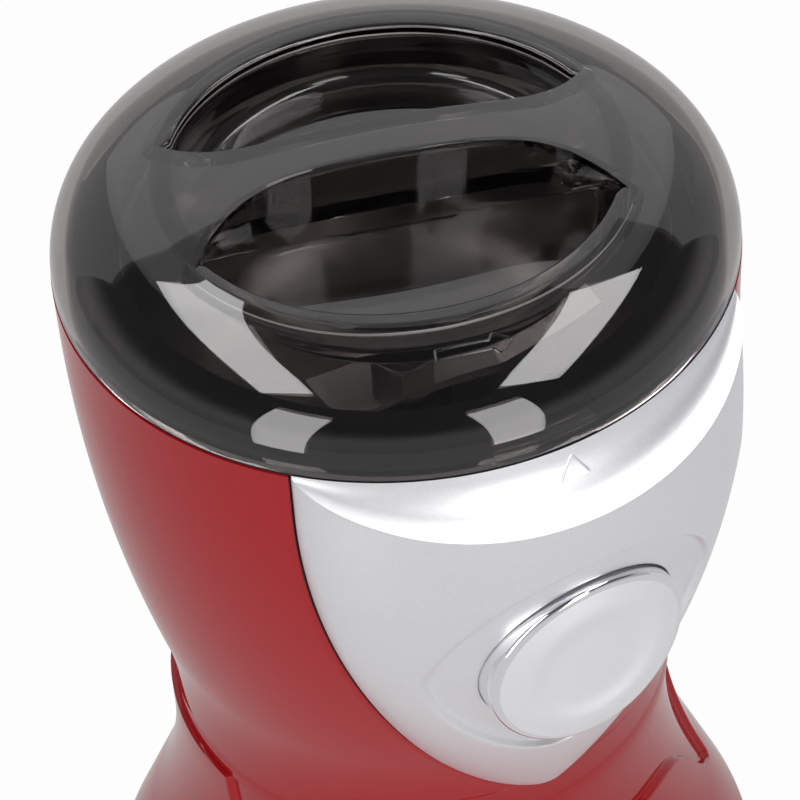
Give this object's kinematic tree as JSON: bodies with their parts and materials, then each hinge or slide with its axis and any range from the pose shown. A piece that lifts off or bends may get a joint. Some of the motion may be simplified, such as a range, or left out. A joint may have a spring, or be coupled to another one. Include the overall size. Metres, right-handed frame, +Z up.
{
  "type": "electric spice grinder",
  "caption": "Waisted spice grinder with a bulging front panel and round push button, a steel bowl with a flat blade over a motor, and a domed bayonet lid with a finger bar.",
  "frame": {"origin": "on the table, under the motor's axis", "axes": "+Z up along the motor's axis, the push button faces -Y, +X to the right of someone facing the button"},
  "size_m": [0.1184, 0.1184, 0.1773],
  "materials": {
    "smoked_clear": "smoked transparent, polished",
    "red_gloss": "gloss",
    "silver_paint": "satin metallic paint",
    "button_chrome": "satin chrome",
    "black_plastic": "matt",
    "grey_plastic": "matt",
    "red_plastic": "matt",
    "bowl_steel": "drawn and polished",
    "blade_steel": "ground",
    "zinc_steel": "zinc plated",
    "spring_steel": "bright wire",
    "bearing_steel": "ground",
    "lamination_steel": "varnished sheet stack",
    "cast_aluminium": "as cast",
    "copper_wire": "enamelled copper wire",
    "commutator_copper": "turned copper",
    "brass_sheet": "stamped",
    "carbon": "pressed carbon",
    "black_rubber": "matt",
    "yellow_case": "gloss"
  },
  "bodies": {
    "housing": {"base_plate": "black_plastic", "base_screws": "zinc_steel", "base_skirt": "red_gloss", "body_shell": "red_gloss", "bowl": "bowl_steel", "bowl_collar": "black_plastic", "brush_holders": "brass_sheet", "brush_springs": "spring_steel", "button_guide": "black_plastic", "button_spring": "spring_steel", "carbon_brushes": "carbon", "chassis_plate": "grey_plastic", "chassis_screws": "zinc_steel", "collar_screws": "zinc_steel", "cord_gland": "black_rubber", "field_coils": "copper_wire", "front_panel": "silver_paint", "interlock_spring": "spring_steel", "interlock_switch": "black_plastic", "lower_bearing": "bearing_steel", "lower_bracket": "cast_aluminium", "motor_bolts": "zinc_steel", "motor_mounts": "black_rubber", "mount_screws": "zinc_steel", "panel_screws": "zinc_steel", "rubber_feet": "black_rubber", "shaft_seal": "black_rubber", "start_switch": "black_plastic", "stator_core": "lamination_steel", "suppressor_capacitor": "yellow_case", "upper_bearing": "bearing_steel", "upper_bracket": "cast_aluminium"},
    "lock_ring": {"interlock_ring": "grey_plastic"},
    "lid": {"lid": "smoked_clear"},
    "button": {"button_cap": "button_chrome"},
    "plunger": {"switch_plunger": "red_plastic"},
    "pin": {"interlock_pin": "grey_plastic"},
    "rotor": {"motor_shaft": "bearing_steel", "armature_core": "lamination_steel", "armature_winding": "copper_wire", "commutator": "commutator_copper", "cooling_fan": "grey_plastic", "blade": "blade_steel", "blade_nut": "blade_steel"}
  },
  "joints": [
    {"name": "button_press", "type": "slide", "parent": "housing", "child": "button", "axis": [0, 1, 0], "range_m": [0, 0.003], "stiffness_N_per_m": 600, "springref_m": -0.003, "deforming": ["button_spring"]},
    {"name": "plunger_press", "type": "slide", "parent": "housing", "child": "plunger", "axis": [0, 1, 0], "range_m": [0, 0.0009]},
    {"name": "lid_turn", "type": "hinge", "parent": "housing", "child": "lock_ring", "pos_m": [0, 0, 0.157], "axis": [0, 0, 1], "range_deg": [0, 20]},
    {"name": "lid_lift", "type": "slide", "parent": "lock_ring", "child": "lid", "axis": [0, 0, 1], "range_m": [0, 0.065]},
    {"name": "pin_drop", "type": "slide", "parent": "housing", "child": "pin", "axis": [0, 0, -1], "range_m": [0, 0.0025], "deforming": ["interlock_spring"]},
    {"name": "rotor_spin", "type": "hinge", "parent": "housing", "child": "rotor", "pos_m": [0, 0, 0.08], "axis": [0, 0, 1], "continuous": true}
  ],
  "couplings": [
    {"joint": "plunger_press", "follows": "button_press", "ratio": 0.3},
    {"joint": "pin_drop", "follows": "lid_turn", "m_per_rad": 0.00716}
  ]
}
